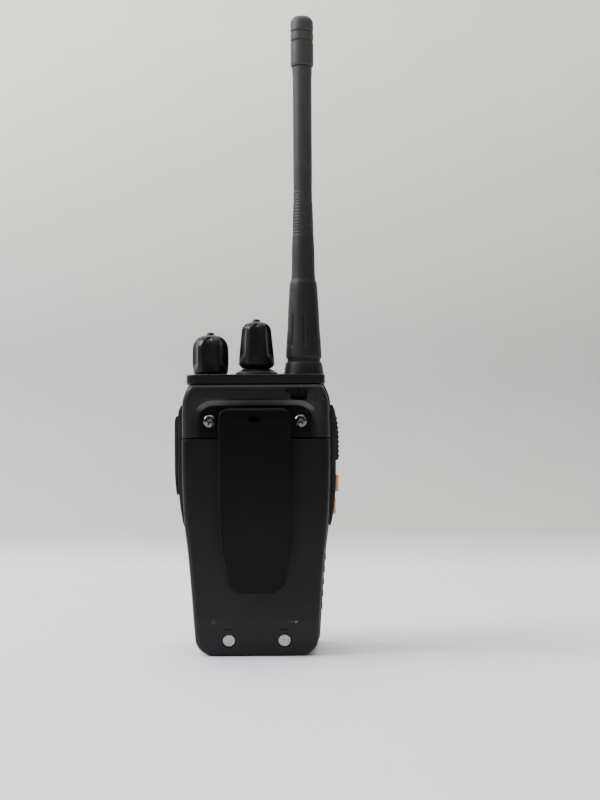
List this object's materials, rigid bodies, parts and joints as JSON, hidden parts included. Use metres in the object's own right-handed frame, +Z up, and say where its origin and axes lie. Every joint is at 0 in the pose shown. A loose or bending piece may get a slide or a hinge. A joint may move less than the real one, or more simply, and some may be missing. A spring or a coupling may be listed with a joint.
{
  "type": "handheld two-way radio",
  "caption": "Compact handheld two-way radio standing on its base, with slide-on battery, spring belt clip, two fluted knobs and a screw-on tapered antenna.",
  "frame": {"origin": "on the ground, under the middle of the whole object's box, with the radio standing on its base", "axes": "+Z up along the antenna; -Y out of the speaker face; +Y out of the battery and belt clip; -X out of the push-to-talk side"},
  "size_m": [0.0696, 0.041, 0.2672],
  "materials": {
    "moulded_black": "fine matte texture",
    "painted_casting": "satin powder coat",
    "polished_black": "polished",
    "satin_black": "satin",
    "black_rubber": "matte",
    "orange_key": "soft matte",
    "steel": "zinc plated",
    "nickel": "nickel plated",
    "brass": "machined",
    "copper": "drawn wire",
    "circuit_board": "solder mask",
    "clear_plastic": "clear",
    "felt": "felt",
    "paper_cone": "paper",
    "cell_wrap": "shrink wrap"
  },
  "bodies": {
    "root": {"front_case": "moulded_black", "rear_chassis": "painted_casting", "case_seal": "black_rubber", "top_panel": "polished_black", "channel_dial_ring": "moulded_black", "ptt_bezel": "moulded_black", "jack_bezel": "moulded_black", "speaker_felt": "felt", "speaker_basket": "steel", "speaker_magnet": "steel", "microphone_capsule": "steel", "microphone_boot": "black_rubber", "main_board": "circuit_board", "rf_shield": "steel", "side_key_board": "circuit_board", "volume_pot": "steel", "volume_nut": "steel", "channel_switch": "steel", "channel_nut": "steel", "antenna_socket": "brass", "flashlight_lens": "clear_plastic", "status_light_pipe": "clear_plastic", "jack_block": "moulded_black", "clip_base": "satin_black", "clip_pin": "steel", "clip_screw_left": "steel", "clip_screw_right": "steel", "case_screw_left": "steel", "case_screw_right": "steel", "terminal_block": "moulded_black", "terminal_spring_1": "nickel", "terminal_spring_2": "nickel"},
    "volume_control": {"volume_knob": "polished_black", "volume_shaft": "steel"},
    "channel_control": {"channel_knob": "polished_black", "channel_shaft": "steel"},
    "antenna_seal": {"antenna_gasket": "black_rubber"},
    "antenna": {"antenna_sheath": "black_rubber", "antenna_cap": "black_rubber", "antenna_coil": "copper", "antenna_connector": "brass"},
    "talk_button": {"ptt_button": "black_rubber", "ptt_plunger": "moulded_black"},
    "upper_key": {"side_key_upper": "orange_key"},
    "lower_key": {"side_key_lower": "orange_key"},
    "accessory_cover": {"jack_cover": "black_rubber"},
    "belt_clip": {"clip_lever": "satin_black", "clip_spring": "steel"},
    "battery": {"battery_case": "moulded_black", "battery_lid": "moulded_black", "battery_cell": "cell_wrap", "battery_board": "circuit_board", "charge_contact_left": "nickel", "charge_contact_right": "nickel", "battery_terminal_plus": "nickel", "battery_terminal_minus": "nickel"},
    "battery_latch": {"latch_button": "moulded_black", "latch_tooth": "steel", "latch_spring": "steel"},
    "loudspeaker_cone": {"speaker_cone": "paper_cone"}
  },
  "joints": [
    {"name": "volume_turn", "type": "hinge", "parent": "root", "child": "volume_control", "pos_m": [0.0195, -0.0065, 0.116], "axis": [0, 0, 1], "range_deg": [-280, 0]},
    {"name": "channel_turn", "type": "hinge", "parent": "root", "child": "channel_control", "pos_m": [0, -0.0065, 0.118], "axis": [0, 0, 1], "range_deg": [-337.5, 0]},
    {"name": "antenna_turn", "type": "hinge", "parent": "root", "child": "antenna_seal", "pos_m": [-0.02, -0.0065, 0.122], "axis": [0, 0, 1], "range_deg": [0, 2880]},
    {"name": "antenna_climb", "type": "slide", "parent": "antenna_seal", "child": "antenna", "axis": [0, 0, 1], "range_m": [0, 0.00564]},
    {"name": "ptt_press", "type": "hinge", "parent": "root", "child": "talk_button", "pos_m": [-0.0327, -0.01, 0.099], "axis": [0, -1, 0], "range_deg": [0, 3.5], "stiffness_Nm_per_rad": 0.5, "springref_deg": -1.72},
    {"name": "side_key_upper_press", "type": "slide", "parent": "root", "child": "upper_key", "axis": [1, 0, 0], "range_m": [0, 0.0007], "stiffness_N_per_m": 2000, "springref_m": -0.0003},
    {"name": "side_key_lower_press", "type": "slide", "parent": "root", "child": "lower_key", "axis": [1, 0, 0], "range_m": [0, 0.0007], "stiffness_N_per_m": 2000, "springref_m": -0.0003},
    {"name": "jack_cover_open", "type": "hinge", "parent": "root", "child": "accessory_cover", "pos_m": [0.0342, -0.01, 0.0984], "axis": [0, -1, 0], "range_deg": [0, 115]},
    {"name": "clip_open", "type": "hinge", "parent": "root", "child": "belt_clip", "pos_m": [0, 0.0152, 0.0935], "axis": [1, 0, 0], "range_deg": [0, 12], "stiffness_Nm_per_rad": 1.2, "springref_deg": -5.73, "deforming": ["clip_spring"]},
    {"name": "battery_slide", "type": "slide", "parent": "root", "child": "battery", "axis": [0, 0, -1], "range_m": [0, 0.012], "deforming": ["latch_tooth"]},
    {"name": "latch_slide", "type": "slide", "parent": "root", "child": "battery_latch", "axis": [0, -1, 0], "range_m": [0, 0.0022], "stiffness_N_per_m": 900, "springref_m": -0.0008, "deforming": ["latch_spring"]},
    {"name": "cone_travel", "type": "slide", "parent": "root", "child": "loudspeaker_cone", "axis": [0, -1, 0], "range_m": [-0.0003, 0.0003], "stiffness_N_per_m": 1500}
  ],
  "couplings": [
    {"joint": "antenna_turn", "follows": "antenna_climb", "rad_per_m": 8905.3}
  ]
}
